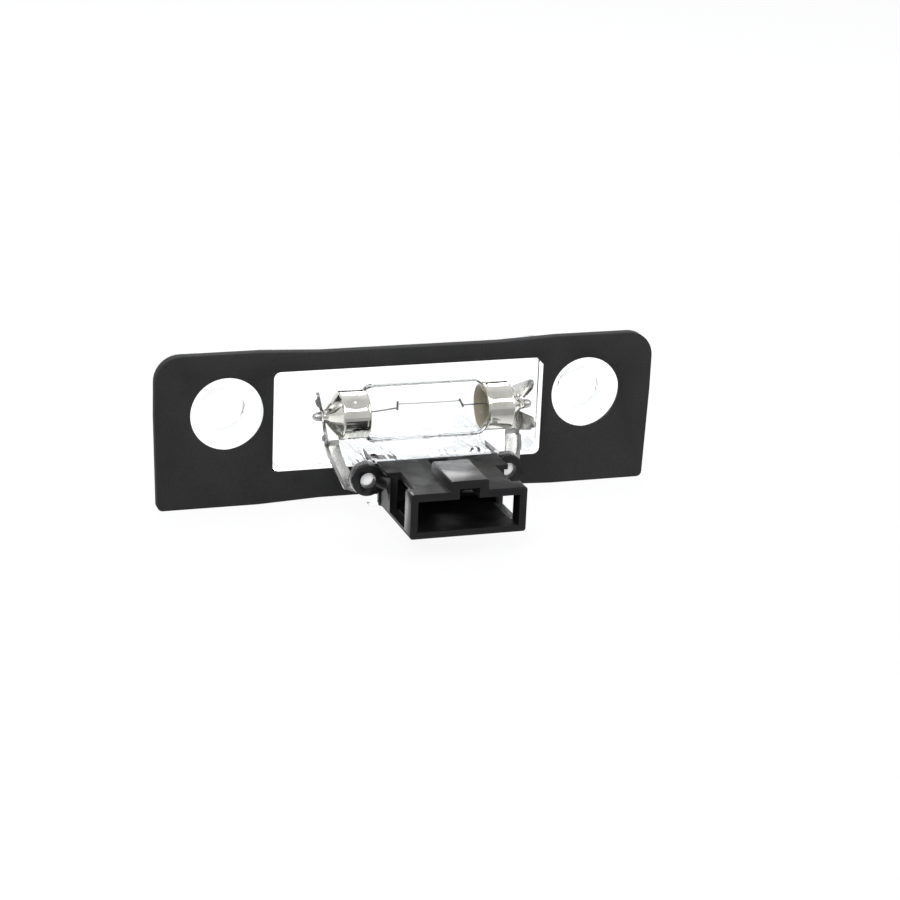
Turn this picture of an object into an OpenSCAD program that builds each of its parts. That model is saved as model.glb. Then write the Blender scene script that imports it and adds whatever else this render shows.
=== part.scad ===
// Number plate lamp with a festoon bulb, a clear lens moulding and a rear socket.
// The origin is midway between the two screw holes, on the inner face of the
// lens flange. +X runs along the lamp, +Y out through the lens, +Z is up.

/* [Lens flange] */
// Distance between the two screw holes
hole_spacing = 68; // [66:0.5:74]
// Radius of each screw hole in the flange
screw_hole_r = 4; // [2.5:0.1:5]
// Thickness of the clear flange
flange_t = 2.6; // [1.8:0.1:4]
// Distance from each screw hole to the side edge of the gasket
sheet_side = 12.95; // [11:0.05:16]
// Height of the gasket above the screw holes
sheet_up = 10.95; // [9.5:0.05:14]
// Height of the gasket below the screw holes
sheet_down = 17.45; // [15.5:0.05:20]
// How far the flange stays inside the gasket's outline
flange_inset = 0.7; // [0.2:0.1:1.5]

/* [Gasket] */
// Thickness of the gasket
gasket_t = 2; // [1:0.1:3]
// Radius of the round holes in the gasket
gasket_hole_r = 6.58; // [5.5:0.02:7.5]
// Radius of the two upper corners
top_corner_r = 4.7; // [2:0.1:7]
// Radius of the two lower corners
low_corner_r = 1; // [0.5:0.1:3]
// Narrowing of the outline between the upper and lower corners
side_taper = 0.5; // [0:0.1:1.5]
// Dip of the long edges in their middle
waist = 0.5; // [0:0.1:1]
// Clearance between the gasket's window and the tray's mouth
window_gap = 0.27; // [0:0.01:1]

/* [Tray] */
// Distance from each screw hole to the side of the tray's mouth
tray_side = 8.8; // [8:0.1:10]
// Height of the tray's mouth
tray_h = 18; // [15:0.1:19]
// Height of the tray's middle below the screw holes
tray_drop = 2.16; // [1:0.02:3]
// Depth of the tray beyond the flange's inner face
tray_depth = 4.3; // [3:0.1:8]
// Wall of the tray
tray_wall = 1.6; // [1:0.1:2.5]
// Corner radius of the tray's mouth
tray_corner_r = 1.2; // [0.5:0.1:3]
// Width of the bevel round the tray's outer face
tray_bevel = 1.2; // [0.4:0.1:1.5]

/* [Bracket] */
// Height of the shelf's top below the screw holes
shelf_drop = 7.2; // [6.5:0.1:8]
// Thickness of the shelf
shelf_t = 1.5; // [1:0.1:1.8]
// Thickness of the end wall behind the connector
end_wall_t = 1.8; // [1.4:0.1:2.5]
// How far each ear hole lies beyond the side of the end wall
wall_in = 0.8; // [0.7:0.05:1.5]
// Thickness of the two arms
arm_t = 1.4; // [1:0.1:1.6]
// Radius of the pegs on the shelf
peg_r = 1; // [0.6:0.1:1.4]
// Distance of each peg from the middle
peg_x = 9.6; // [8:0.1:10]
// Height of the pegs above the shelf
peg_h = 1.3; // [0.5:0.1:2]
// Radius of the bosses behind the connector's ears
boss_r = 2.1; // [1.7:0.1:2.2]
// Length of the bosses behind the connector's ears
boss_len = 2.1; // [1.5:0.1:3]
// Gap between the pin on each boss and the ear's hole
pin_gap = 0.1; // [0.05:0.01:0.2]
// How far each pin reaches into the ear's hole
pin_reach = 0.5; // [0.3:0.1:1]

/* [Connector] */
// Width of the connector housing
conn_w = 20.86; // [19:0.02:22]
// Height of the connector housing
conn_h = 8.04; // [7.6:0.02:9]
// Depth of the connector housing
conn_d = 17.9; // [15:0.1:20]
// Height of the housing's top below the screw holes
conn_drop = 5.07; // [4.8:0.01:5.4]
// Distance from the flange to the housing's rear face
conn_back = 18; // [17:0.1:20]
// Side walls of the socket
conn_wall = 1.3; // [1:0.05:1.6]
// Roof of the socket
conn_roof = 1.38; // [1.1:0.02:1.5]
// Floor of the socket
conn_floor = 1.15; // [0.9:0.05:1.5]
// Rear wall of the socket
conn_rear = 2; // [1.2:0.1:3]
// Depth of the front frame ahead of the side windows
conn_frame = 3.2; // [2:0.1:5]
// Length of each side window
side_window = 8.5; // [5:0.1:9]
// Thickness of the sill under each side window
sill_t = 0.85; // [0.5:0.05:1.2]
// Width of the raised block on the roof
block_w = 6.8; // [5.5:0.1:8]
// Height of the raised block
block_h = 1.9; // [1:0.1:2.5]
// Length of the raised block
block_l = 10.6; // [7:0.1:12]
// Width of the keyway under the block
key_w = 3.6; // [2.5:0.1:4.5]
// Height of the keyway above the socket's roof
key_h = 1.8; // [1:0.1:2.2]
// Edge radius of the housing
conn_edge_r = 0.5; // [0.2:0.05:0.8]
// Radius of the two ears
ear_r = 2.85; // [2.5:0.05:3.2]
// Thickness of the two ears
ear_t = 1.5; // [1:0.1:2]
// Radius of the hole in each ear
ear_hole_r = 1.4; // [1:0.05:1.5]
// Distance between the two ear holes
ear_spacing = 26; // [25.6:0.1:27]
// Height of the ear holes below the screw holes
ear_drop = 7.95; // [7.6:0.05:8.2]

/* [Bulb] */
// Distance of the bulb's axis behind the flange's inner face
bulb_back = 9.5; // [9:0.1:10.5]
// Height of the bulb's axis above the screw holes
bulb_up = 1; // [0.5:0.1:1.5]
// Length of the bulb over its solder tips
bulb_len = 41; // [40:0.1:42]
// Radius of the glass
glass_r = 5.2; // [4.8:0.05:5.4]
// Wall of the glass
glass_wall = 0.6; // [0.4:0.05:0.9]
// Radius of the metal caps
cap_r = 4.4; // [4.2:0.05:4.6]
// Wall of the metal caps
cap_wall = 0.25; // [0.15:0.01:0.35]
// Length of each cap with its solder tip
cap_len = 9.5; // [8.5:0.1:11]
// Length of the pointed end beyond each cap's shoulder
point_len = 4.7; // [4.3:0.1:5.2]
// Thickness of the cement between glass and cap
cement_t = 0.4; // [0.2:0.05:0.6]
// Radius of the lead wires
lead_r = 0.14; // [0.1:0.01:0.2]
// Height of the filament above the bulb's axis
filament_up = 1.3; // [0.8:0.1:2]
// Radius of the coiled filament
filament_r = 0.12; // [0.08:0.01:0.15]
// Distance of the filament's left clamp from the middle
clamp_left = 4.9; // [3:0.1:6]
// Distance of the filament's right clamp from the middle
clamp_right = 6.6; // [3:0.1:7]

/* [Contacts] */
// Thickness of the contact strip
strip_t = 0.5; // [0.35:0.05:0.6]
// Width of the contact's leg
leg_w = 2.6; // [2:0.1:2.8]
// Depth of the flange along the leg's outer edge
leg_flange = 0.8; // [0.5:0.1:1.2]
// Distance of each fork from the bulb's tip
fork_in = 2.1; // [2:0.05:2.3]
// Angle by which each fork spreads towards its mouth
fork_spread = 14; // [10:1:18]
// Angle by which each fork leans outwards
fork_lean = 12; // [8:1:14]
// Gap between a fork's prongs where they hold the bulb
fork_gap = 2.8; // [2.7:0.05:3]
// Angle by which the lips of the prongs are bent outwards
lip_angle = 40; // [20:5:60]
// Width of those lips
lip_w = 0.9; // [0.5:0.1:1.2]
// Radius of the ring that each ear clamps
ring_r = 3; // [2.6:0.1:3.2]
// Width of the plug blades
blade_w = 2.8; // [2:0.1:3]
// Length of the plug blades inside the socket
blade_l = 5; // [3:0.1:7]
// Distance of each plug blade from the middle
blade_x = 4; // [3:0.1:5]

/* [Hidden] */
$fn = 48;
cut = 0.5;             // overshoot of a cutting shape beyond the face that it opens
clear = 0.1;           // clearance round a piece that fits into another
soft_fn = 32;          // facets of a rounded child of a hull

hole_x = hole_spacing / 2;
sheet_w = hole_spacing + 2 * sheet_side;
tray_w = hole_spacing - 2 * tray_side;
tray_z = -tray_drop;
window_w = tray_w + 2 * window_gap;
window_h = tray_h + 2 * window_gap;
window_nick = 1.4;     // nick in one upper corner of the gasket's window

shelf_top = -shelf_drop;
shelf_low = shelf_top - shelf_t;
conn_top = -conn_drop;
conn_low = conn_top - conn_h;
conn_front = -conn_back - conn_d;
socket_roof = conn_top - conn_roof;
socket_floor = conn_low + conn_floor;
socket_back = -conn_back - conn_rear;
window_back = conn_front + conn_frame + side_window;
ear_x = ear_spacing / 2;
ear_z = -ear_drop;
rim_t = 0.8;           // depth of the raised rim round the housing's rear
rim_out = 0.35;        // and its overhang
roof_out = 0.65;       // overhang of the rear of the roof
roof_edge_t = 0.9;     // thickness of the roof's overhanging rear part
web_h = 5.4;           // height of the web between each ear and the housing
web_t = 0.8;           // and its thickness
gusset_half = 1.15;    // half the height of the wedge in the corner beside each ear
gusset_l = 2.4;        // and its length along the side wall
pin_r = ear_hole_r - pin_gap;
pin_end = 0.25;        // chamfer of the pin
key_step = 3;          // how far the keyway stops short of the socket's rear wall
block_edge_r = 0.4;
pocket_gap = 0.4;      // land between the raised block and the pocket behind it
pocket_x = [-2.1, 1.6]; // span of that pocket

wall_top = conn_top - 0.3;      // upper edge of the bracket's end wall
wall_back = -conn_back + end_wall_t;
end_wall_half = ear_x - wall_in;
root_y = tray_depth + tray_wall / 2;   // where the bracket joins the tray's floor
arm_knee = [-3, -6];            // where the arm's upper and lower edges bend, in Y
rib_x = 5.1;
rib_t = 1;
shelf_pocket = [-5, 1.2];       // span of the shallow pocket in the shelf, in X
shelf_pocket_y = [4.4, 8.4];    // and its span ahead of the end wall
peg_ahead = 5;         // from the end wall to each peg
peg_y = wall_back + peg_ahead;

bulb_half = bulb_len / 2;
glass_half = bulb_half - cap_len;
shoulder_half = bulb_half - point_len;
cap_in_r = cap_r - cap_wall;
neck_r = cap_in_r - cement_t;
seal_r = 0.9;
rim_len = 1.5;         // rounded end of the glass in front of each cap
mouth_gap = 0.1;       // between that end and the cap's mouth
neck_end = glass_half + 2;
dome_end = shoulder_half - 1.2;
seal_end = shoulder_half - 0.4;
shoulder_r = 0.3;      // chamfer of the cap's shoulder
nose_s = bulb_half - 2.5;   // where the cap's shoulder cone meets its nose
cap_end = bulb_half - 1.5;  // where the cap ends and the solder begins
nose_r = 1.3;
tip_r = 0.85;
tip_land = 0.2;        // straight part of the solder ahead of its dome
stem_r = 0.6;
stem_s = cap_end - 1;
cement_s = glass_half + 0.05;
cement_end = seal_end - 0.1;
bend_s = glass_half + 0.5;  // where the left lead wire leaves the axis, inside its cap
crank_s = glass_half + 1;   // where the right one is cranked upwards
sleeve_r = 0.28;       // sleeve welded over the left wire's bend
sleeve_l = 0.8;
post_r = 1.45 * lead_r;     // crank and clamps, thicker than the wire
lead_left = 0.7;       // height of the left lead wire at its clamp
lead_right = 0.5;      // height of the right lead wire
clamp_low = 0.4;       // how far each clamp reaches below its wire
clamp_high = 0.5;      // and above the filament
clamp_slope = 0.7;     // how far the right clamp's lower end lies outwards
filament_gap = 0.1;    // between the filament's right end and its clamp
filament_dip = 0.1;    // how much lower that end is

// Fork, in its own plane: [towards the mouth, height above the bulb's axis]
fork_x = bulb_half - fork_in;
fork_low = -5.4;
fork_rear = [[-1.6, fork_low], [-3.1, -1.6], [-3.6, 1.9], [-3.5, 2.5]];
upper_tip = [1.2, 4.1];
upper_tip_r = 0.8;
upper_arc = [115, -40];     // first and last angle of the tip's rounding
upper_root = [0.6, 2];
lower_tip = [3.7, -2];
lower_low = [3.6, -3.1];    // lower corner of the same prong
lower_tip_r = 0.7;
lower_root = [0.9, -1.35];
fork_heel = [0.9, -4.6];
notch = -0.3;               // centre of the notch that holds the bulb
notch_arc = [65, 265];
lower_arc = 80;             // angle of the rounding at each lower corner

// Leg, step, ring and blade of each contact. The ring lies between the ear and its boss.
leg_in = 0.15;         // how far the leg's upper end stays inside the fork's plane
leg_y = -bulb_back - 0.7;
leg_lap = 0.9;         // overlap of leg and fork
foot_out = ear_x + 3.05;    // outer edge of the leg at its lower end
foot_front = -14.9;    // front face of the leg's lower end
knee = 0.27;           // where the leg bends, as a share of its height
knee_out = 0.35;       // and by how much
foot_y = -conn_back;
step_gap = 0.17;       // between the step and the boss above it
step_top = ear_z - boss_r - step_gap;
step_end = [ear_x - 0.7, ear_x + 1.3];  // span of the step at the ring, in X
blade_z = (socket_roof + socket_floor) / 2;
bar_low = blade_z - strip_t / 2;
bar_top = ear_z + 1;

// Points of an arc, from angle a0 to a1 about (cx, cy)
function arc(cx, cy, r, a0, a1, n = 8) =
    [for (i = [0:n]) let (a = a0 + (a1 - a0) * i / n) [cx + r * cos(a), cy + r * sin(a)]];

// Points of a quarter ellipse that starts at radius r0 and height s0, level, and ends at r1 and s1
function quarter(r0, s0, r1, s1, n = 6) =
    [for (i = [0:n]) let (a = 90 * i / n) [r1 + (r0 - r1) * cos(a), s0 + (s1 - s0) * sin(a)]];

function reversed(points) = [for (i = [len(points) - 1:-1:0]) points[i]];

function mirrored(points) = [for (i = [len(points) - 1:-1:0]) [-points[i][0], points[i][1]]];

// Right half of the sheet's outline in X and Z, from its lower to its upper edge
function half_outline(inset) =
    let (w = sheet_w / 2 - inset, up = sheet_up - inset, down = -sheet_down + inset,
        top_r = top_corner_r - inset / 2, low_r = low_corner_r,
        low_w = w - side_taper, flat = tray_w / 3, ramp = tray_w / 1.8)
    concat([[flat, down + waist], [ramp, down]],
        arc(low_w - low_r, down + low_r, low_r, -90, 0, 4),
        [[w, 0]],
        arc(w - top_r, up - top_r, top_r, 0, 90, 10),
        [[ramp, up], [flat, up - waist]]);

function outline(inset) = concat(half_outline(inset), mirrored(half_outline(inset)));

// Stands a flat shape drawn in X and Z upright, filling the space from y0 to y1
module upright(y0, y1) {
    translate([0, y1, 0]) rotate([90, 0, 0]) linear_extrude(y1 - y0) children();
}

// Box given by its lowest and highest corners
module block(low, high) {
    translate(low) cube(high - low);
}

module rounded_rect(w, h, r) {
    union() {
        square([w - 2 * r, h], center = true);
        square([w, h - 2 * r], center = true);
        for (sx = [-1, 1], sz = [-1, 1])
            translate([sx * (w / 2 - r), sz * (h / 2 - r)]) circle(r);
    }
}

module both_sides() {
    children();
    mirror([1, 0, 0]) children();
}

module screw_circles(r) {
    for (side = [-1, 1]) translate([side * hole_x, 0]) circle(r);
}

// Bevelled outer shell of the tray
module tray_shell() {
    outer_w = tray_w + 2 * tray_wall;
    outer_h = tray_h + 2 * tray_wall;
    outer_r = tray_corner_r + tray_wall;
    outer_y = tray_depth + tray_wall;
    translate([0, 0, tray_z]) {
        upright(flange_t / 2, outer_y - tray_bevel) rounded_rect(outer_w, outer_h, outer_r);
        hull() for (sx = [-1, 1], sz = [-1, 1]) {
            translate([sx * (outer_w / 2 - outer_r), outer_y - tray_bevel, sz * (outer_h / 2 - outer_r)])
                rotate([-90, 0, 0])
                    cylinder(h = tray_bevel, r1 = outer_r, r2 = outer_r - tray_bevel, $fn = soft_fn);
        }
    }
}

// Boss with a pin that reaches through the contact's ring into the ear
module ear_boss() {
    pin_l = strip_t + pin_reach - pin_end;
    translate([ear_x, -conn_back + strip_t, ear_z]) {
        rotate([-90, 0, 0]) cylinder(h = boss_len, r = boss_r);
        rotate([90, 0, 0]) {
            translate([0, 0, -cut]) cylinder(h = pin_l + cut, r = pin_r);
            translate([0, 0, pin_l]) cylinder(h = pin_end, r1 = pin_r, r2 = pin_r - pin_end);
        }
    }
}

module bracket_solid() {
    block([-end_wall_half, wall_back - cut, shelf_low], [end_wall_half, root_y, shelf_top]);
    block([-end_wall_half, -conn_back, conn_low], [end_wall_half, wall_back, wall_top]);
    both_sides() {
        // Arm, running from the flange to the end wall with a sloping upper edge
        translate([end_wall_half - arm_t, 0, 0]) rotate([90, 0, 90]) linear_extrude(arm_t)
            polygon([[root_y, tray_z - tray_h / 2 + arm_t / 3], [root_y, shelf_top + 1.5 * arm_t],
                [arm_knee[0], shelf_top + arm_t], [wall_back - cut, wall_top],
                [wall_back - cut, shelf_low - arm_t], [arm_knee[1], shelf_low - arm_t / 2]]);
        // Peg with a domed top, standing on the shelf
        translate([peg_x, peg_y, shelf_top]) rotate_extrude() intersection() {
            translate([0, peg_h - peg_r]) circle(peg_r);
            translate([0, -shelf_t / 2]) square([peg_r, peg_h + shelf_t]);
        }
        // Rib under the shelf
        block([rib_x - rib_t / 2, wall_back - cut, shelf_low - rib_t],
            [rib_x + rib_t / 2, root_y, shelf_low + clear]);
    }
}

module lens() {
    color("aliceblue", 0.4) {
        difference() {
            union() {
                difference() {
                    union() {
                        upright(0, flange_t) polygon(outline(flange_inset));
                        tray_shell();
                    }
                    translate([0, 0, tray_z]) upright(-cut, tray_depth)
                        rounded_rect(tray_w, tray_h, tray_corner_r);
                }
                bracket_solid();
            }
            upright(-cut, flange_t + cut) screw_circles(screw_hole_r);
            // Seats of the contacts' rings and bars in the end wall
            both_sides() {
                upright(-conn_back - cut, -conn_back + strip_t)
                    translate([ear_x, ear_z]) circle(ring_r + clear);
                block([blade_x - blade_w / 2 - clear, -conn_back - cut, bar_low - clear],
                    [ear_x, -conn_back + strip_t, bar_top + clear]);
            }
            // Pocket in the shelf, ahead of the end wall
            block([shelf_pocket[0], wall_back + shelf_pocket_y[0], shelf_top - shelf_t / 2],
                [shelf_pocket[1], wall_back + shelf_pocket_y[1], shelf_top + cut]);
        }
        both_sides() ear_boss();
    }
}

module gasket() {
    color("dimgray") upright(-gasket_t, 0) difference() {
        polygon(outline(0));
        translate([0, tray_z]) difference() {
            rounded_rect(window_w, window_h, tray_corner_r);
            translate([window_w / 2, window_h / 2]) rotate(45)
                square(window_nick * sqrt(2), center = true);
        }
        screw_circles(gasket_hole_r);
    }
}

module ear_ring() {
    difference() {
        circle(ear_r);
        circle(ear_hole_r);
    }
}

module ear() {
    upright(-conn_back - ear_t, -conn_back) translate([ear_x, ear_z]) ear_ring();
    upright(-conn_back - web_t, -conn_back) difference() {
        translate([conn_w / 2 - conn_wall, ear_z - web_h / 2])
            square([ear_x - conn_w / 2 + conn_wall, web_h]);
        translate([ear_x, ear_z]) circle(ear_hole_r);
    }
    // Wedge in the corner between the web's rear face and the side wall
    front = -conn_back - ear_t;
    wedge_x = ear_x - ear_hole_r;
    translate([0, 0, ear_z - gusset_half]) linear_extrude(2 * gusset_half)
        polygon([[conn_w / 2 - cut, front + cut], [wedge_x, front + cut], [wedge_x, front],
            [conn_w / 2, front - gusset_l], [conn_w / 2 - cut, front - gusset_l]]);
}

module connector_housing() {
    mid_z = (conn_top + conn_low) / 2;
    roof_half = conn_w / 2 - conn_wall;
    color("#1c1c1e") difference() {
        union() {
            translate([0, 0, mid_z]) upright(conn_front, -conn_back)
                rounded_rect(conn_w, conn_h, conn_edge_r);
            // Rim round the rear, and the wider rear part of the roof
            translate([0, 0, mid_z]) upright(-conn_back - rim_t, -conn_back)
                rounded_rect(conn_w + 2 * rim_out, conn_h, conn_edge_r);
            block([-conn_w / 2 - roof_out, window_back, conn_top - roof_edge_t],
                [conn_w / 2 + roof_out, -conn_back, conn_top]);
            translate([0, 0, conn_top + (block_h - conn_roof / 2) / 2])
                upright(conn_front, conn_front + block_l)
                    rounded_rect(block_w, block_h + conn_roof / 2, block_edge_r);
            both_sides() ear();
        }
        // Socket and keyway
        block([-roof_half, conn_front - cut, socket_floor], [roof_half, socket_back, socket_roof]);
        block([-key_w / 2, conn_front - cut, socket_roof - cut],
            [key_w / 2, socket_back - key_step, socket_roof + key_h]);
        // Side windows, open through the edge of the roof
        both_sides() block([roof_half - cut, conn_front + conn_frame, conn_low + sill_t],
            [conn_w / 2 + roof_out + cut, window_back, conn_top + cut]);
        // Pocket behind the raised block
        block([pocket_x[0], conn_front + block_l + pocket_gap, conn_top - roof_edge_t],
            [pocket_x[1], -conn_back - rim_t, conn_top + cut]);
        // Slots for the blades
        both_sides() block([blade_x - blade_w / 2 - clear, socket_back - cut, bar_low - clear],
            [blade_x + blade_w / 2 + clear, -conn_back + cut, bar_low + strip_t + clear]);
    }
}

// Flat part of the fork, without its lips
module fork_outline() {
    polygon(concat(fork_rear,
        arc(upper_tip[0], upper_tip[1], upper_tip_r, upper_arc[0], upper_arc[1], 6),
        [upper_root], arc(notch, 0, fork_gap / 2, notch_arc[0], notch_arc[1], 12), [lower_root],
        arc(lower_tip[0], lower_tip[1], lower_tip_r, lower_arc, 0, 4),
        arc(lower_low[0], lower_low[1], lower_tip_r, 0, -lower_arc, 4),
        [fork_heel, [fork_heel[0], fork_low]]));
}

// Lip along the edge from one point of the fork to another, bent outwards
module lip(from, to) {
    way = to - from;
    len = norm(way);
    r = lip_w / 2;
    translate([from[0], from[1], 0]) rotate(atan2(way[1], way[0])) rotate([-lip_angle, 0, 0])
        translate([0, 0, -strip_t]) linear_extrude(strip_t)
            polygon(concat([[0, 0]], arc(r, lip_w - r, r, 180, 90, 4),
                arc(len - r, lip_w - r, r, 90, 0, 4), [[len, 0]]));
}

// Slice of the contact's leg: its face, or the flange along its outer edge, at one height
module leg_slice(outer, front, low, flange) {
    block([outer - (flange ? strip_t : leg_w), front - (flange ? leg_flange : 0), low],
        [outer, front + strip_t, low + clear]);
}

// Contact on the +X side
module contact() {
    leg_out = fork_x - leg_in;
    leg_top = bulb_up + fork_low;
    step_low = step_top - strip_t;
    knee_z = leg_top + knee * (step_low - leg_top);
    blade_out = blade_x + blade_w / 2;
    blade_in = blade_x - blade_w / 2;
    // Fork, spread towards the mouth and leaning outwards
    translate([fork_x, -bulb_back, bulb_up]) rotate([0, fork_lean, fork_spread]) rotate([90, 0, -90]) {
        translate([0, 0, -strip_t]) linear_extrude(strip_t) fork_outline();
        lip(upper_root, upper_tip + upper_tip_r * [cos(upper_arc[1]), sin(upper_arc[1])]);
        lip(lower_tip + [lower_tip_r, 0], lower_low + [lower_tip_r, 0]);
    }
    // Leg, sloping down, forwards and inwards, with a flange along its outer edge
    block([leg_out - leg_w, leg_y, leg_top], [leg_out, leg_y + strip_t, leg_top + leg_lap]);
    for (flange = [false, true]) {
        hull() {
            leg_slice(leg_out, leg_y, leg_top, flange);
            leg_slice(leg_out + knee * (foot_out - leg_out) + knee_out,
                leg_y + knee * (foot_front - leg_y), knee_z, flange);
        }
        hull() {
            leg_slice(leg_out + knee * (foot_out - leg_out) + knee_out,
                leg_y + knee * (foot_front - leg_y), knee_z, flange);
            leg_slice(foot_out, foot_front, step_low, flange);
        }
    }
    // Step towards the ear
    translate([0, 0, step_low]) linear_extrude(strip_t)
        polygon([[foot_out - leg_w, foot_front + strip_t], [foot_out - leg_w, foot_front],
            [step_end[0], foot_y], [step_end[1], foot_y], [foot_out, foot_front],
            [foot_out, foot_front + strip_t]]);
    // Ring between ear and boss, and the bar that leads from it to the blade
    upright(foot_y, foot_y + strip_t) difference() {
        union() {
            translate([ear_x, ear_z]) circle(ring_r);
            translate([blade_in, bar_low]) square([ear_x - blade_in, bar_top - bar_low]);
        }
        translate([ear_x, ear_z]) circle(ear_hole_r);
    }
    block([blade_in, socket_back - blade_l, bar_low], [blade_out, foot_y + strip_t, bar_low + strip_t]);
}

module contact_right() { color("silver") contact(); }
module contact_left() { color("silver") mirror([1, 0, 0]) contact(); }

module on_bulb_axis() {
    translate([0, -bulb_back, bulb_up]) rotate([0, 90, 0]) children();
}

module bulb_glass() {
    w = glass_wall;
    shoulder = glass_half - rim_len;
    neck_s = glass_half - mouth_gap;
    half = concat([[glass_r, 0]], quarter(glass_r, shoulder, neck_r, neck_s),
        quarter(neck_r, neck_end, seal_r, dome_end), [[seal_r, seal_end], [lead_r, seal_end]],
        reversed(quarter(neck_r - w, neck_end - w / 2, lead_r, dome_end - w)),
        reversed(quarter(glass_r - w, shoulder, neck_r - w, neck_s)), [[glass_r - w, 0]]);
    color("white", 0.3) on_bulb_axis() {
        rotate_extrude() polygon(half);
        mirror([0, 0, 1]) rotate_extrude() polygon(half);
    }
}

module cap() {
    color("silver") on_bulb_axis() rotate_extrude() polygon([
        [cap_in_r, glass_half], [cap_r, glass_half], [cap_r, shoulder_half - shoulder_r],
        [cap_r - shoulder_r / 2, shoulder_half], [nose_r, nose_s], [tip_r, cap_end],
        [stem_r, cap_end], [stem_r, stem_s], [nose_r - cap_wall, nose_s - cap_wall / 2],
        [cap_in_r, shoulder_half - cap_wall]]);
}

module solder_tip() {
    color("gainsboro") on_bulb_axis() rotate_extrude() polygon(concat(
        [[0, stem_s], [stem_r, stem_s], [stem_r, cap_end], [tip_r, cap_end]],
        quarter(tip_r, cap_end + tip_land, 0, bulb_half)));
}

// Cement that fills the cap round the glass, as far as the seal
module cement_ring() {
    color("darkgoldenrod") on_bulb_axis() rotate_extrude() polygon(concat(
        [[neck_r, cement_s], [cap_in_r, cement_s], [cap_in_r, cement_end], [seal_r, cement_end]],
        reversed(quarter(neck_r, neck_end, seal_r, dome_end))));
}

module bulb_cap_right() { cap(); }
module bulb_cap_left() { mirror([1, 0, 0]) cap(); }
module solder_tip_right() { solder_tip(); }
module solder_tip_left() { mirror([1, 0, 0]) solder_tip(); }
module cement_ring_right() { cement_ring(); }
module cement_ring_left() { mirror([1, 0, 0]) cement_ring(); }

// Round rod between two points given as [x, height above the bulb's axis]
module rod(from, to, r) {
    way = to - from;
    translate([from[0], -bulb_back, bulb_up + from[1]]) rotate([0, atan2(way[0], way[1]), 0])
        cylinder(h = norm(way), r = r);
}

module lead_wire_left() {
    color("slategray") {
        rod([-stem_s, 0], [-bend_s, 0], lead_r);
        rod([-bend_s - sleeve_l / 2, 0], [-bend_s + sleeve_l / 2, 0], sleeve_r);
        rod([-bend_s, 0], [-clamp_left, lead_left], lead_r);
        rod([-clamp_left, lead_left - clamp_low], [-clamp_left, filament_up + clamp_high], post_r);
    }
}

module lead_wire_right() {
    foot = [clamp_right + clamp_slope, lead_right];
    head = [clamp_right, filament_up + clamp_low];
    color("slategray") {
        rod([stem_s, 0], [crank_s, 0], lead_r);
        rod([crank_s, -sleeve_r], [crank_s, lead_right + sleeve_r], post_r);
        rod([crank_s, lead_right], foot, lead_r);
        rod(foot - clamp_low * (head - foot) / norm(head - foot), head, post_r);
    }
}

module filament() {
    color("darkslategray") rod([-clamp_left + post_r, filament_up],
        [clamp_right - filament_gap, filament_up - filament_dip], filament_r);
}

lens();
gasket();
connector_housing();
contact_left();
contact_right();
bulb_glass();
bulb_cap_left();
bulb_cap_right();
solder_tip_left();
solder_tip_right();
cement_ring_left();
cement_ring_right();
lead_wire_left();
lead_wire_right();
filament();
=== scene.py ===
import math

import bmesh
import bpy
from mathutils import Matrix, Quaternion, Vector
from mathutils.bvhtree import BVHTree


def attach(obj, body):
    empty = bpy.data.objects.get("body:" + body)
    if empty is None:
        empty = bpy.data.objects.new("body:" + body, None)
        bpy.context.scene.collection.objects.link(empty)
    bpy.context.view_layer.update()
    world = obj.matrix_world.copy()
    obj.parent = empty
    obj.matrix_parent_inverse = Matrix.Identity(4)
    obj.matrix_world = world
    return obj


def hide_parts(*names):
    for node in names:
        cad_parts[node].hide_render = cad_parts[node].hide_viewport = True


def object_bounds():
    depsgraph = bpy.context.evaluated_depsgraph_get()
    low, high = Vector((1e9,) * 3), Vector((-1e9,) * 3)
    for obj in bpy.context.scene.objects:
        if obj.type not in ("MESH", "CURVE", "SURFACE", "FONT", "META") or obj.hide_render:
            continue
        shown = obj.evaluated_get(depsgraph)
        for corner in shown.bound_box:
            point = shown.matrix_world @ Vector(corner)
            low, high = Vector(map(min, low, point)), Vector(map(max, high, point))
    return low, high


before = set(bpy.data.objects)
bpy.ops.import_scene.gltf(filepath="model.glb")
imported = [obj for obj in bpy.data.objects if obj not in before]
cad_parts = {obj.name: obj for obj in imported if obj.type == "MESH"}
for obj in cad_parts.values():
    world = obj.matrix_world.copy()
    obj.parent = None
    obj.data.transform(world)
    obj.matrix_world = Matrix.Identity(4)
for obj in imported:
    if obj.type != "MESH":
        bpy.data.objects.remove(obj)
cadLow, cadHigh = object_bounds()
print("frame loaded:", len(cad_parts), "nodes")

scene = bpy.context.scene
scene.view_settings.view_transform = "Standard"
mm = 0.001


def vec(x, y, z):
    return Vector((x, y, z)) * mm


# camera, fitted to the photograph
camSet = {
    "lens": 99.97,  # mm, on a sensor 36 mm wide
    "sensor": 36,
    "place": (-135.64, -411.21, 136.78),  # mm
    "yaw": -19.34,  # degrees
    "pitch": 18.65,
    "roll": -2.45,
    "near": 0.01,  # metres
}


def makeCamera(s):
    yaw, pitch = math.radians(s["yaw"]), math.radians(s["pitch"])
    level = math.cos(pitch)
    look = -Vector((math.sin(yaw) * level, -math.cos(yaw) * level, math.sin(pitch)))
    roll = Quaternion((0, 0, 1), -math.radians(s["roll"]))
    data = bpy.data.cameras.new("camera")
    data.lens = s["lens"]
    data.sensor_width = s["sensor"]
    data.clip_start = s["near"]
    cam = bpy.data.objects.new("camera", data)
    scene.collection.objects.link(cam)
    cam.rotation_mode = "QUATERNION"
    cam.rotation_quaternion = look.to_track_quat("-Z", "Y") @ roll
    cam.location = vec(*s["place"])
    scene.camera = cam


makeCamera(camSet)


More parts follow.
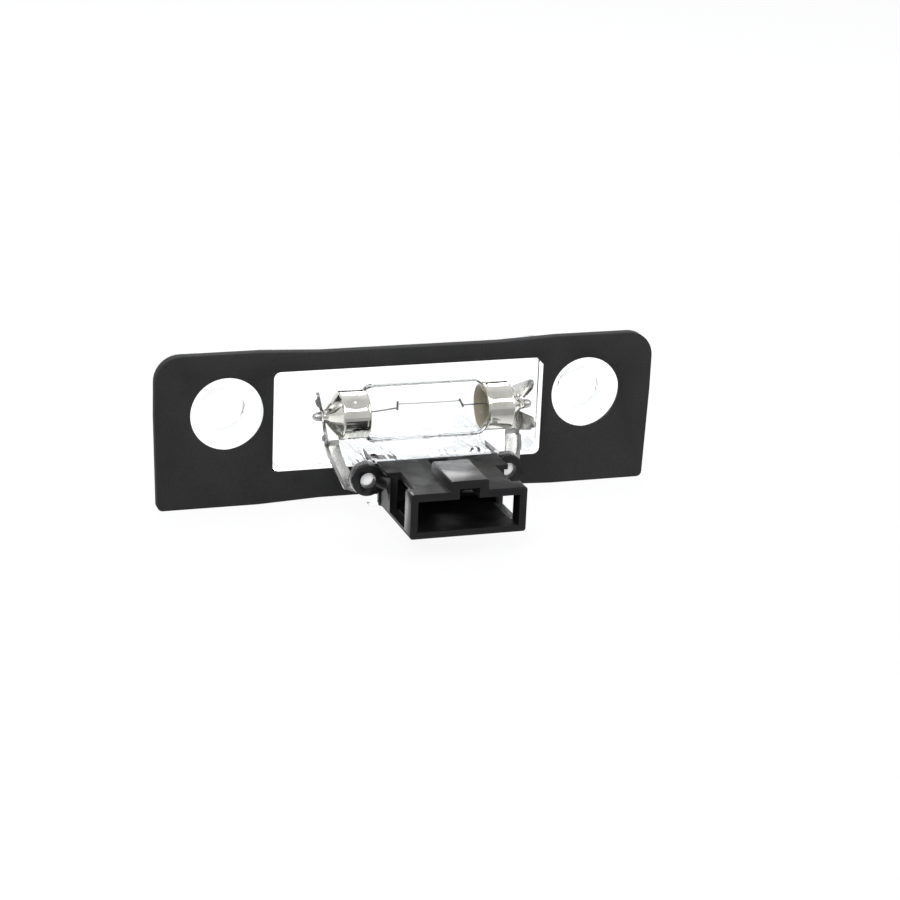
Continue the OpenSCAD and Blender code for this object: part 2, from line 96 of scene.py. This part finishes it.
# studio: white surroundings, a floor that the camera sees white, four soft lamps
studioSet = {
    "fill": 0.62,  # strength of the surroundings on matt surfaces
    "fillColor": (0.96, 0.98, 1.0),
    "mirrored": (0.66, 0.9),  # strength of the surroundings in reflections, in front and behind
    "mirrorFade": (-0.2, 0.35),  # where one goes over into the other, along Y
    "floorSize": 3.0,  # metres
    "floorGap": 0.0001,  # metres below the lamp's lowest edge
    "floorColor": (0.07, 0.071, 0.073),
    "floorGlow": 0.92,  # lifts the floor to white where the camera sees it
    "floorMirrored": (0.34, 1.15),  # strength of the floor in reflections, in front and behind
    "floorFade": (-0.045, -0.012),  # metres along Y
    "aim": (0, -10, 0),  # mm, the point that the lamps face
    "lamps": [
        # name, place in mm, size in mm, watts
        ("keyLamp", (-260, -420, 420), 320, 2.6),
        ("panelLamp", (186, -440, 367), 130, 0.2),
        ("sideLamp", (430, -260, 260), 260, 1.0),
        ("backLamp", (60, 420, 380), 320, 1.6),
    ],
}


def mathNode(nodes, links, operation, first, second):
    # each input is a socket or a number
    node = nodes.new("ShaderNodeMath")
    node.operation = operation
    for place, value in zip(node.inputs, (first, second)):
        if isinstance(value, (int, float)):
            place.default_value = value
        else:
            links.new(value, place)
    return node.outputs[0]


def rayLevel(nodes, links, seen, mirrored):
    # strength for the camera's and transmitted rays, and for mirrored ones, 0 for the rest
    path = nodes.new("ShaderNodeLightPath").outputs
    direct = mathNode(nodes, links, "MAXIMUM", path["Is Camera Ray"], path["Is Transmission Ray"])
    direct = mathNode(nodes, links, "MULTIPLY", direct, seen)
    glossy = mathNode(nodes, links, "MULTIPLY", path["Is Glossy Ray"], mirrored)
    return mathNode(nodes, links, "MAXIMUM", direct, glossy)


def yBlend(nodes, links, output, span, levels):
    # a value that goes from one level to the other along Y
    coords = nodes.new("ShaderNodeTexCoord")
    parts = nodes.new("ShaderNodeSeparateXYZ")
    links.new(coords.outputs[output], parts.inputs[0])
    fade = nodes.new("ShaderNodeMapRange")
    fade.inputs["From Min"].default_value, fade.inputs["From Max"].default_value = span
    fade.inputs["To Min"].default_value, fade.inputs["To Max"].default_value = levels
    links.new(parts.outputs["Y"], fade.inputs["Value"])
    return fade.outputs[0]


def makeWorld(s):
    world = bpy.data.worlds.new("studio")
    scene.world = world
    world.use_nodes = True
    nodes, links = world.node_tree.nodes, world.node_tree.links
    nodes.clear()
    soft = nodes.new("ShaderNodeBackground")
    soft.inputs["Color"].default_value = (*s["fillColor"], 1)
    soft.inputs["Strength"].default_value = s["fill"]
    white = nodes.new("ShaderNodeBackground")
    white.inputs["Color"].default_value = (1, 1, 1, 1)
    mirrored = yBlend(nodes, links, "Generated", s["mirrorFade"], s["mirrored"])
    level = rayLevel(nodes, links, 1.0, mirrored)
    links.new(level, white.inputs["Strength"])
    mix = nodes.new("ShaderNodeMixShader")
    out = nodes.new("ShaderNodeOutputWorld")
    links.new(mathNode(nodes, links, "GREATER_THAN", level, 0.0), mix.inputs[0])
    links.new(soft.outputs[0], mix.inputs[1])
    links.new(white.outputs[0], mix.inputs[2])
    links.new(mix.outputs[0], out.inputs[0])


def makeFloor(s):
    bm = bmesh.new()
    bmesh.ops.create_grid(bm, x_segments=1, y_segments=1, size=s["floorSize"] / 2)
    bmesh.ops.translate(bm, verts=bm.verts, vec=(0, 0, cadLow.z - s["floorGap"]))
    mesh = bpy.data.meshes.new("floor")
    bm.to_mesh(mesh)
    bm.free()
    floor = bpy.data.objects.new("floor", mesh)
    scene.collection.objects.link(floor)
    mat = bpy.data.materials.new("floorWhite")
    mat.use_nodes = True
    nodes, links = mat.node_tree.nodes, mat.node_tree.links
    nodes.clear()
    matt = nodes.new("ShaderNodeBsdfDiffuse")
    matt.inputs["Color"].default_value = (*s["floorColor"], 1)
    glow = nodes.new("ShaderNodeEmission")
    glow.inputs["Color"].default_value = (1, 1, 1, 1)
    mirrored = yBlend(nodes, links, "Object", s["floorFade"], s["floorMirrored"])
    links.new(rayLevel(nodes, links, s["floorGlow"], mirrored), glow.inputs["Strength"])
    both = nodes.new("ShaderNodeAddShader")
    out = nodes.new("ShaderNodeOutputMaterial")
    links.new(matt.outputs[0], both.inputs[0])
    links.new(glow.outputs[0], both.inputs[1])
    links.new(both.outputs[0], out.inputs[0])
    mesh.materials.append(mat)


def makeLamps(s):
    aim = vec(*s["aim"])
    for name, place, size, watts in s["lamps"]:
        data = bpy.data.lights.new(name, "AREA")
        data.shape = "SQUARE"
        data.size = size * mm
        data.energy = watts
        lamp = bpy.data.objects.new(name, data)
        lamp.location = vec(*place)
        lamp.rotation_euler = (aim - lamp.location).to_track_quat("-Z", "Y").to_euler()
        scene.collection.objects.link(lamp)


makeWorld(studioSet)
makeFloor(studioSet)
makeLamps(studioSet)
print("studio ready")


# materials: the part of a grain's range that is spread over roughness, and over colour
grainSpan = {"rough": (0.3, 0.7), "color": (0.35, 0.65)}


def surface(name, color, rough, metal=0.0, **more):
    # a Principled material, with its nodes, links and shader
    mat = bpy.data.materials.new(name)
    mat.use_nodes = True
    nodes, links = mat.node_tree.nodes, mat.node_tree.links
    shader = nodes["Principled BSDF"]
    shader.inputs["Base Color"].default_value = (*color, 1)
    shader.inputs["Roughness"].default_value = rough
    shader.inputs["Metallic"].default_value = metal
    for key, value in more.items():
        shader.inputs[key.replace("_", " ")].default_value = value
    return mat, nodes, links, shader


def grain(nodes, links, scale, detail, stretch=(1, 1, 1)):
    coords = nodes.new("ShaderNodeTexCoord")
    place = nodes.new("ShaderNodeMapping")
    place.inputs["Scale"].default_value = stretch
    noise = nodes.new("ShaderNodeTexNoise")
    noise.inputs["Scale"].default_value = scale
    noise.inputs["Detail"].default_value = detail
    links.new(coords.outputs["Object"], place.inputs[0])
    links.new(place.outputs[0], noise.inputs["Vector"])
    return noise.outputs["Fac"]


def roughness(nodes, links, source, shader, levels):
    low, high = grainSpan["rough"]
    span = nodes.new("ShaderNodeMapRange")
    span.inputs["From Min"].default_value = low
    span.inputs["From Max"].default_value = high
    span.inputs["To Min"].default_value, span.inputs["To Max"].default_value = levels
    links.new(source, span.inputs["Value"])
    links.new(span.outputs[0], shader.inputs["Roughness"])


def tint(nodes, links, source, shader, colors):
    ramp = nodes.new("ShaderNodeValToRGB")
    for stop, place, color in zip(ramp.color_ramp.elements, grainSpan["color"], colors):
        stop.position = place
        stop.color = (*color, 1)
    links.new(source, ramp.inputs[0])
    links.new(ramp.outputs[0], shader.inputs["Base Color"])


def relief(nodes, links, source, shader, strength, depth):
    bump = nodes.new("ShaderNodeBump")
    bump.inputs["Strength"].default_value = strength
    bump.inputs["Distance"].default_value = depth
    links.new(source, bump.inputs["Height"])
    links.new(bump.outputs[0], shader.inputs["Normal"])


# in each finish, a grain is its scale and detail, and relief its strength and depth in metres
clearSet = {
    "rough": 0.02, "ior": 1.17, "gloss": (0.45, 0.46, 0.48, 1),  # gloss: its colour
    "flow": (90, 2), "roughSpan": (0.0, 0.04), "relief": (0.012, 0.0003),
}


def clearPlastic(name, color, s):
    mat, nodes, links, shader = surface(name, color, s["rough"], Transmission_Weight=1.0,
                                        IOR=s["ior"], Specular_Tint=s["gloss"])
    flow = grain(nodes, links, *s["flow"])
    roughness(nodes, links, flow, shader, s["roughSpan"])
    relief(nodes, links, flow, shader, *s["relief"])
    return mat


# ends of the bracket's pins, with a faint painted glow standing in for the light that the clear
# boss carries
milkySet = {
    "color": (0.95, 0.96, 0.96), "rough": 0.5, "glow": (1, 1, 1, 1), "glowLevel": 0.3,
    "grain": (900, 3), "roughSpan": (0.4, 0.6),
}


def milkyPlasticPaintedGlow(s):
    mat, nodes, links, shader = surface("milkyPlasticPaintedGlow", s["color"], s["rough"],
                                        Emission_Color=s["glow"],
                                        Emission_Strength=s["glowLevel"])
    roughness(nodes, links, grain(nodes, links, *s["grain"]), shader, s["roughSpan"])
    return mat


glassSet = {
    "color": (0.97, 0.98, 0.98), "rough": 0.0, "ior": 1.3, "gloss": (0.4, 0.41, 0.42, 1),
    "waves": (60, 1, (0.4, 1, 1)), "relief": (0.04, 0.0005),
}


def bulbGlass(s):
    mat, nodes, links, shader = surface("bulbGlassClear", s["color"], s["rough"], IOR=s["ior"],
                                        Transmission_Weight=1.0, Specular_Tint=s["gloss"])
    relief(nodes, links, grain(nodes, links, *s["waves"]), shader, *s["relief"])
    return mat


rubberSet = {
    "color": (0.02, 0.02, 0.021), "rough": 0.82, "specular": 0.3,
    "fine": (2600, 5), "patches": (160, 4),
    "colors": ((0.018, 0.018, 0.019), (0.022, 0.022, 0.023)),
    "roughSpan": (0.74, 0.9), "relief": (0.3, 0.00006),
}


def gasketRubber(s):
    mat, nodes, links, shader = surface("gasketRubber", s["color"], s["rough"],
                                        Specular_IOR_Level=s["specular"])
    fine = grain(nodes, links, *s["fine"])
    tint(nodes, links, grain(nodes, links, *s["patches"]), shader, s["colors"])
    roughness(nodes, links, fine, shader, s["roughSpan"])
    relief(nodes, links, fine, shader, *s["relief"])
    return mat


blackSet = {
    "color": (0.005, 0.005, 0.006), "rough": 0.2, "ior": 1.46,
    "sheen": 0.3, "sheenRough": 0.3,
    "patches": (220, 3), "colors": ((0.004, 0.004, 0.005), (0.007, 0.007, 0.008)),
    "polish": (350, 3), "roughSpan": (0.17, 0.27),
    "skin": (400, 3), "relief": (0.08, 0.00008),
}


def blackPlastic(s):
    mat, nodes, links, shader = surface("blackPlastic", s["color"], s["rough"], IOR=s["ior"],
                                        Sheen_Weight=s["sheen"],
                                        Sheen_Roughness=s["sheenRough"])
    tint(nodes, links, grain(nodes, links, *s["patches"]), shader, s["colors"])
    roughness(nodes, links, grain(nodes, links, *s["polish"]), shader, s["roughSpan"])
    relief(nodes, links, grain(nodes, links, *s["skin"]), shader, *s["relief"])
    return mat


# inside the socket: the black plastic made darker and duller, painted shade in the recess
socketShadeSet = {
    "color": (0.003, 0.003, 0.003), "rough": 0.5, "specular": 0.15,
    "grain": (300, 3), "roughSpan": (0.4, 0.6),
}


def socketPaintedShade(s):
    mat, nodes, links, shader = surface("socketPaintedShade", s["color"], s["rough"],
                                        Specular_IOR_Level=s["specular"])
    roughness(nodes, links, grain(nodes, links, *s["grain"]), shader, s["roughSpan"])
    return mat


cementLook = {
    "color": (0.5, 0.42, 0.26), "rough": 0.4,
    "patches": (160, 2), "colors": ((0.4, 0.36, 0.27), (0.6, 0.5, 0.3)),
    "crumbs": (2500, 3), "relief": (0.3, 0.00008),
}


def cementPaste(s):
    mat, nodes, links, shader = surface("cement", s["color"], s["rough"])
    tint(nodes, links, grain(nodes, links, *s["patches"]), shader, s["colors"])
    relief(nodes, links, grain(nodes, links, *s["crumbs"]), shader, *s["relief"])
    return mat


metalSet = {
    "patches": (300, 4), "streaks": (1200, 4), "relief": (0.12, 0.00006),
    # name, dark and light colour, roughness from and to, stretch of the streaks
    "spring": ("springMetal", (0.54, 0.54, 0.53), (0.66, 0.66, 0.65), (0.2, 0.34), (1, 1, 0.15)),
    # darker metal for the contacts' sheared edges and sideways flanges: partly the cut's
    # dullness, partly painted shade
    "shear": ("shearedEdgeAndShade", (0.16, 0.16, 0.16), (0.28, 0.28, 0.28), (0.35, 0.5), (1, 1, 1)),
    "cap": ("nickelCap", (0.66, 0.65, 0.6), (0.8, 0.79, 0.75), (0.05, 0.16), (0.12, 1, 1)),
    "solder": ("solder", (0.3, 0.3, 0.3), (0.52, 0.52, 0.51), (0.25, 0.5), (1, 1, 1)),
    "wire": ("leadWire", (0.2, 0.19, 0.18), (0.32, 0.31, 0.3), (0.3, 0.45), (0.2, 1, 1)),
    "filament": ("filamentWire", (0.2, 0.18, 0.15), (0.34, 0.3, 0.26), (0.35, 0.5), (1, 1, 1)),
}


def brightMetal(kind, s):
    name, dark, light, roughSpan, stretch = s[kind]
    mat, nodes, links, shader = surface(name, light, roughSpan[0], metal=1.0)
    tint(nodes, links, grain(nodes, links, *s["patches"]), shader, (dark, light))
    streaks = grain(nodes, links, *s["streaks"], stretch)
    roughness(nodes, links, streaks, shader, roughSpan)
    relief(nodes, links, streaks, shader, *s["relief"])
    return mat


mats = {
    "clear": clearPlastic("clearPlastic", (0.965, 0.975, 0.98), clearSet),
    "bracket": clearPlastic("clearPlasticBracket", (0.88, 0.895, 0.9), clearSet),
    # darker tint on the moulding's narrow edges: painted shade for the grey lines at clear edges
    "edge": clearPlastic("clearPlasticEdgeShade", (0.7, 0.72, 0.73), clearSet),
    "milky": milkyPlasticPaintedGlow(milkySet),
    "glass": bulbGlass(glassSet),
    "rubber": gasketRubber(rubberSet),
    "black": blackPlastic(blackSet),
    "inside": socketPaintedShade(socketShadeSet),
    "cement": cementPaste(cementLook),
}
for kind in ("spring", "shear", "cap", "solder", "wire", "filament"):
    mats[kind] = brightMetal(kind, metalSet)
print("materials ready:", len(mats))


# pieces: weld distance in metres, and the bend in degrees below which faces count as flat
weldSet = {"reach": 0.000002, "flat": 0.6}


def addPiece(bm, name, matNames, slotName, *nodes):
    mesh = bpy.data.meshes.new(name)
    bm.to_mesh(mesh)
    bm.free()
    for matName in matNames.split():
        mesh.materials.append(mats[matName])
    piece = bpy.data.objects.new(name, mesh)
    scene.collection.objects.link(piece)
    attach(piece, "root")
    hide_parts(*nodes)
    return piece


def mergedCopy(node):
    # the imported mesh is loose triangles: weld them and join the flat ones
    bm = bmesh.new()
    bm.from_mesh(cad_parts[node].data)
    bmesh.ops.remove_doubles(bm, verts=bm.verts, dist=weldSet["reach"])
    bmesh.ops.dissolve_limit(bm, angle_limit=math.radians(weldSet["flat"]),
                             verts=bm.verts, edges=bm.edges)
    return bm


def faceWidth(face):
    # area over the longest edge
    return face.calc_area() / max(edge.calc_length() for edge in face.edges)


def softEdges(piece, width, segments=2, angle=35):
    for poly in piece.data.polygons:
        poly.use_smooth = True
    bevel = piece.modifiers.new("edges", "BEVEL")
    bevel.width = width * mm
    bevel.segments = segments
    bevel.limit_method = "ANGLE"
    bevel.angle_limit = math.radians(angle)
    bevel.harden_normals = True
    bevel.miter_outer = "MITER_SHARP"
    return piece


# lens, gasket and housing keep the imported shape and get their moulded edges, all in mm
lensSet = {
    "pinX": 13, "pinZ": -7.95, "pinR": 1.35, "pinY": (-20.5, -17.5),  # ends of the pins
    "narrow": 2.1,  # a face narrower than this is an edge of the moulding, tinted darker as painted shade
    "soft": 0.2,
}


def makeLens(s):
    clear, milky, narrow, bracket = range(4)  # the piece's materials, in their order
    pinStart, pinEnd = s["pinY"]
    bm = mergedCopy("lens")
    for face in bm.faces:
        x, y, z = face.calc_center_median() / mm
        fromPin = math.hypot(abs(x) - s["pinX"], z - s["pinZ"])
        if fromPin < s["pinR"] and pinStart < y < pinEnd:
            face.material_index = milky
        elif faceWidth(face) < s["narrow"] * mm:
            face.material_index = narrow
        else:
            face.material_index = bracket if y < 0 else clear
    piece = addPiece(bm, "clearLens", "clear milky edge bracket", "clear_plastic", "lens")
    return softEdges(piece, s["soft"])


makeLens(lensSet)

# the gasket's openings widen towards the flange
gasketSet = {
    "flare": 0.72, "keepY": -0.5,  # what lies behind keepY stays
    "windowZ": -2.16, "windowHalf": (27, 10.5), "holeX": 34, "holeReach": 7,
    "soft": 0.12,
}


def makeGasket(s):
    halfX, halfZ = s["windowHalf"]
    bm = mergedCopy("gasket")
    for v in bm.verts:
        x, y, z = v.co / mm
        if y < s["keepY"]:
            continue
        side = math.copysign(1, x)
        fromHole = vec(x - side * s["holeX"], 0, z)
        if abs(x) < halfX and abs(z - s["windowZ"]) < halfZ:
            v.co += vec(side * s["flare"], 0, math.copysign(s["flare"], z - s["windowZ"]))
        elif fromHole.length < s["holeReach"] * mm:
            v.co += fromHole.normalized() * s["flare"] * mm
    piece = addPiece(bm, "rubberGasket", "rubber", "gasket_rubber", "gasket")
    return softEdges(piece, s["soft"])


makeGasket(gasketSet)

# the faces in this box and in the keyway over it get the darker, less glossy material: painted
# shade inside the socket's mouth and keyway
socketSet = {
    "low": (-9.2, -35.8, -12.1), "high": (9.2, -19.9, -6.4),
    "keyX": 1.85, "keyLow": -6.5, "keyTop": -4.6, "keyEnd": -22.9,
    "soft": 0.14,
}


def makeHousing(s):
    lowX, lowY, lowZ = s["low"]
    highX, highY, highZ = s["high"]
    bm = mergedCopy("connector_housing")
    for face in bm.faces:
        x, y, z = face.calc_center_median() / mm
        deep = lowX < x < highX and lowY < y < highY and lowZ < z < highZ
        key = abs(x) < s["keyX"] and lowY < y < s["keyEnd"] and s["keyLow"] < z < s["keyTop"]
        face.material_index = 1 if deep or key else 0
    piece = addPiece(bm, "socketHousing", "black inside", "black_plastic", "connector_housing")
    return softEdges(piece, s["soft"])


makeHousing(socketSet)
print("moulded pieces ready")


# contacts: sheet metal whose sheared edges are darker, partly the cut's own dullness and partly
# painted shade, and whose sideways flanges are darker as painted shade, in mm
contactSet = {
    "sheet": 0.8,  # more metal than this behind a face makes it a sheared edge
    "start": 0.01,  # depth at which that measure starts
    "flange": 0.81, "sideways": 0.6,  # a narrow face that looks sideways is a flange, darkened as painted shade
    "soft": 0.1,
}


def makeContact(side, s):
    bm = mergedCopy("contact_" + side)
    tree = BVHTree.FromBMesh(bm)
    for face in bm.faces:
        start = face.calc_center_median() - face.normal * s["start"] * mm
        depth = tree.ray_cast(start, -face.normal)[3] or 0
        # sheared edges and sideways flanges get the darker metal, in part painted shade
        flange = faceWidth(face) < s["flange"] * mm and abs(face.normal.x) > s["sideways"]
        face.material_index = 1 if flange or depth > s["sheet"] * mm else 0
    node = "contact_" + side
    piece = addPiece(bm, "springContact_" + side, "spring shear", "spring_metal", node)
    return softEdges(piece, s["soft"])


for side in ("left", "right"):
    makeContact(side, contactSet)
print("contacts ready")


# bulb, in mm: S is a distance along its axis from its middle, R a radius
bulbSet = {
    "y": -9.5, "z": 1.0,  # its axis
    "glassR": 5.2, "wall": 0.6, "shoulder": 9.5, "neckS": 10.9, "neckR": 3.75, "neckEnd": 13.0,
    "domeEnd": 14.6, "sealR": 0.9, "sealEnd": 15.4, "leadR": 0.14,
    "sides": 128,
}
axisPoint = vec(0, bulbSet["y"], bulbSet["z"])


def lathe(profile, sides):
    # profile holds (distance along the bulb's axis, radius) pairs, in mm
    bm = bmesh.new()
    verts = [bm.verts.new(axisPoint + vec(s, 0, r)) for s, r in profile]
    edges = [bm.edges.new((a, b)) for a, b in zip(verts, verts[1:])]
    bmesh.ops.spin(bm, geom=verts + edges, cent=axisPoint, axis=(1, 0, 0), angle=math.tau,
                   steps=sides, use_merge=True)
    bmesh.ops.remove_doubles(bm, verts=bm.verts, dist=weldSet["reach"])
    bmesh.ops.recalc_face_normals(bm, faces=bm.faces)
    for face in bm.faces:
        face.smooth = True
    return bm


def mirrorAcross(bm):
    # the left half of the bulb from its right half
    bmesh.ops.scale(bm, vec=(-1, 1, 1), verts=bm.verts)
    bmesh.ops.reverse_faces(bm, faces=bm.faces)


def quarterCurve(s0, r0, s1, r1, count=10):
    # quarter ellipse, level at its start
    points = []
    for i in range(count + 1):
        a = math.pi / 2 * i / count
        points.append((s0 + (s1 - s0) * math.sin(a), r1 + (r0 - r1) * math.cos(a)))
    return points


def makeGlass(s):
    w = s["wall"]
    glassR, neckR = s["glassR"], s["neckR"]
    outer = [(0, glassR)] + quarterCurve(s["shoulder"], glassR, s["neckS"], neckR)
    outer += quarterCurve(s["neckEnd"], neckR, s["domeEnd"], s["sealR"])
    outer += [(s["sealEnd"], s["sealR"])]
    inner = [(0, glassR - w)] + quarterCurve(s["shoulder"], glassR - w, s["neckS"], neckR - w)
    inner += quarterCurve(s["neckEnd"] - w / 2, neckR - w, s["domeEnd"] - w, s["leadR"])
    inner += [(s["sealEnd"], s["leadR"])]
    ring = outer[1:] + list(reversed(inner[1:]))
    ring += [(-x, r) for x, r in inner[1:]] + [(-x, r) for x, r in reversed(outer[1:])]
    bm = lathe(ring + ring[:1], s["sides"])
    return addPiece(bm, "glassEnvelope", "glass", "bulb_glass", "bulb_glass")


capSet = {
    "mouthS": 11.0, "outR": 4.4, "wall": 0.25,
    "lip": 0.05,  # rounding of the rim
    "rollS": 0.4, "waistS": 0.55, "waist": 0.06,  # rolled rim, and the waist behind it
    "bodyFrom": 0.7, "bodyTo": 0.3, "bodySteps": 24,  # body, from the mouth to the shoulder
    "shoulderS": 15.8, "bendIn": 0.25, "bendOut": 0.1, "bendDrop": 0.3, "bendSteps": 5,
    "coneSteps": 19,
    "noseS": 18.0, "noseR": 1.3, "noseMid": 0.5, "endS": 19.0, "endR": 0.85,
    "stemR": 0.6, "stemS": 18.0, "stemWall": 0.05,
    "sides": 160,
    # pinches round the cone: how many, their depth, turn in degrees, reach and fade
    "flutes": 4, "fluteDepth": 0.3, "fluteTurn": 40, "fluteS": (16.0, 18.9), "fluteFade": 1.5,
    # dent in the left cap: place along, angle in degrees, length, width, depth
    "dent": (13.5, 137, 2.0, 1.3, 0.22), "dentReach": 4, "dentFade": 1.3, "dentSkin": 0.12,
}


def capProfile(s):
    w, outR = s["wall"], s["outR"]
    mouth, shoulder = s["mouthS"], s["shoulderS"]
    bendOut, drop = s["bendOut"], s["bendDrop"]
    rim = [(mouth, outR - w), (mouth, outR - s["lip"]), (mouth + s["lip"], outR),
           (mouth + s["rollS"], outR), (mouth + s["waistS"], outR - s["waist"])]
    start, end = mouth + s["bodyFrom"], shoulder - s["bodyTo"]
    body = []
    for i in range(s["bodySteps"] + 1):
        t = i / s["bodySteps"]
        body.append((start + (end - start) * t, outR - s["waist"] * (1 - t)))
    cone = quarterCurve(shoulder - s["bendIn"], outR, shoulder + bendOut, outR - drop,
                        s["bendSteps"])
    for i in range(1, s["coneSteps"]):
        t = i / s["coneSteps"]
        cone.append((shoulder + bendOut + (s["noseS"] - shoulder - bendOut) * t,
                     outR - drop + (s["noseR"] - outR + drop) * t))
    nose = [(s["noseS"], s["noseR"]),
            (s["noseS"] + s["noseMid"], (s["noseR"] + s["endR"]) / 2), (s["endS"], s["endR"])]
    inside = [(s["endS"], s["stemR"]), (s["stemS"], s["stemR"]),
              (s["noseS"] - w / 2, s["noseR"] - w), (shoulder - w, outR - w)]
    return rim + body + cone + nose + inside + rim[:1]


def flutePush(s, along, angle):
    start, end = s["fluteS"]
    t = (along - start) / (end - start)
    wave = max(0.0, math.cos(s["flutes"] * (angle - math.radians(s["fluteTurn"]))))
    return s["fluteDepth"] * wave * math.sin(math.pi * t) ** s["fluteFade"]


def dentPush(s, along, angle, radius):
    dentS, dentAngle, length, width, depth = s["dent"]
    a = (along - dentS) / (length / 2)
    b = (angle - math.radians(dentAngle)) * radius / (width / 2)
    reach = a * a + b * b
    return depth * math.exp(-reach * s["dentFade"]) if reach < s["dentReach"] else 0.0


def makeCap(side, s):
    bm = lathe(capProfile(s), s["sides"])
    fluteStart, fluteEnd = s["fluteS"]
    for v in bm.verts:
        along = v.co.x / mm
        arm = v.co - axisPoint
        arm.x = 0
        radius = arm.length / mm
        angle = math.atan2(arm.z, arm.y)
        push = 0.0
        if fluteStart < along < fluteEnd and radius > s["stemR"] + s["stemWall"]:
            push += flutePush(s, along, angle)
        if side == "left" and radius > s["outR"] - s["dentSkin"]:
            push += dentPush(s, along, angle, radius)
        v.co -= arm.normalized() * min(push, radius - s["stemR"]) * mm
    if side == "left":
        mirrorAcross(bm)
    return addPiece(bm, "capShell_" + side, "cap", "cap_metal", "bulb_cap_" + side)


# cement between glass and cap, with the bead that shows at the cap's mouth
cementSet = {
    "innerR": 3.75, "outerR": 4.15, "end": 15.2, "mouth": 11.0,
    "bead": (4.13, 4.36), "out": 0.12, "beadSteps": 4, "step": 0.05, "under": 0.03,
    "sides": 96,
}


def makeCement(side, s):
    low, high = s["bead"]
    mouth, end = s["mouth"], s["end"]
    innerR, outerR = s["innerR"], s["outerR"]
    profile = [(end, innerR), (mouth + s["step"], innerR), (mouth + s["step"], low - s["under"]),
               (mouth - s["out"] / 2, low)]
    profile += quarterCurve(mouth - s["out"], (low + high) / 2, mouth, high, s["beadSteps"])
    profile += [(mouth, outerR), (end, outerR), (end, innerR)]
    bm = lathe(profile, s["sides"])
    if side == "left":
        mirrorAcross(bm)
    return addPiece(bm, "cementRing_" + side, "cement", "cement", "cement_ring_" + side)


solderSet = {"soft": 0.08}


def makeSolder(side, s):
    node = "solder_tip_" + side
    piece = addPiece(mergedCopy(node), node + "_dressed", "solder", "solder", node)
    return softEdges(piece, s["soft"])


makeGlass(bulbSet)
for side in ("left", "right"):
    makeCap(side, capSet)
    makeCement(side, cementSet)
    makeSolder(side, solderSet)
print("bulb ready")


# lead wires, bent inside the bulb, and the coiled filament between their clamps:
# points are (distance along the axis, height above it), in mm
wireSet = {
    "r": 0.14, "clampR": 0.2, "sides": 12,
    "left": [(-18.0, 0.0), (-12.2, 0.0), (-11.4, 0.04), (-4.9, 0.7)],
    "leftClamp": [(-4.9, 0.3), (-4.9, 1.9)],
    "right": [(18.0, 0.0), (12.6, 0.0), (12.2, 0.1), (11.8, 0.4), (11.4, 0.5), (7.2, 0.5)],
    "rightClamp": [(7.45, 0.15), (6.65, 1.65)],
    "soft": 0.05, "softAngle": 60,
}
coilSet = {
    "start": (-4.8, 1.4), "end": (6.6, 1.3), "sag": 0.05,
    "coilR": 0.085, "wireR": 0.03, "pitch": 0.1,
    "steps": 10, "sides": 6,  # steps in each turn, sides of the wire
}


def tube(bm, points, radius, sides):
    # a round wire through the points
    path = [axisPoint + vec(s, 0, h) for s, h in points]
    ways = [(b - a).normalized() for a, b in zip(path, path[1:])]
    ring = bmesh.ops.create_circle(bm, cap_ends=True, cap_tris=False, segments=sides,
                                   radius=radius * mm)["verts"]
    turn = ways[0].to_track_quat("Z", "Y")
    bmesh.ops.rotate(bm, verts=ring, cent=(0, 0, 0), matrix=turn.to_matrix())
    bmesh.ops.translate(bm, verts=ring, vec=path[0])
    for i in range(1, len(path)):
        edges = list({e for v in ring for e in v.link_edges if e.other_vert(v) in ring})
        out = bmesh.ops.extrude_edge_only(bm, edges=edges)["geom"]
        ring = [g for g in out if isinstance(g, bmesh.types.BMVert)]
        bmesh.ops.translate(bm, verts=ring, vec=path[i] - path[i - 1])
        if i < len(path) - 1:
            bend = ways[i - 1].rotation_difference(ways[i])
            bmesh.ops.rotate(bm, verts=ring, cent=path[i], matrix=bend.to_matrix())
    bmesh.ops.holes_fill(bm, edges=[e for e in bm.edges if e.is_boundary], sides=0)


def makeLead(side, s):
    bm = bmesh.new()
    tube(bm, s[side], s["r"], s["sides"])
    tube(bm, s[side + "Clamp"], s["clampR"], s["sides"])
    bmesh.ops.recalc_face_normals(bm, faces=bm.faces)
    piece = addPiece(bm, "leadWire_" + side, "wire", "wire_metal", "lead_wire_" + side)
    return softEdges(piece, s["soft"], angle=s["softAngle"])


def makeFilament(s):
    bm = bmesh.new()
    startS, startH = s["start"]
    endS, endH = s["end"]
    length = endS - startS
    turns = int(length / s["pitch"])
    steps = turns * s["steps"]
    start = axisPoint + vec(startS, 0, startH)
    ring = bmesh.ops.create_circle(bm, cap_ends=True, cap_tris=False, segments=s["sides"],
                                   radius=s["wireR"] * mm)["verts"]
    bmesh.ops.translate(bm, verts=ring, vec=start + vec(0, s["coilR"], 0))
    bmesh.ops.spin(bm, geom=bm.faces[:] + bm.edges[:] + bm.verts[:], cent=start, axis=(1, 0, 0),
                   dvec=vec(length / steps, 0, 0), angle=math.tau * turns, steps=steps,
                   use_merge=False)
    for v in bm.verts:
        t = (v.co.x - start.x) / (length * mm)
        v.co.z += ((endH - startH) * t - s["sag"] * math.sin(math.pi * t)) * mm
    bmesh.ops.recalc_face_normals(bm, faces=bm.faces)
    for face in bm.faces:
        face.smooth = True
    return addPiece(bm, "filamentCoil", "filament", "filament_metal", "filament")


for side in ("left", "right"):
    makeLead(side, wireSet)
makeFilament(coilSet)
print("wires ready")
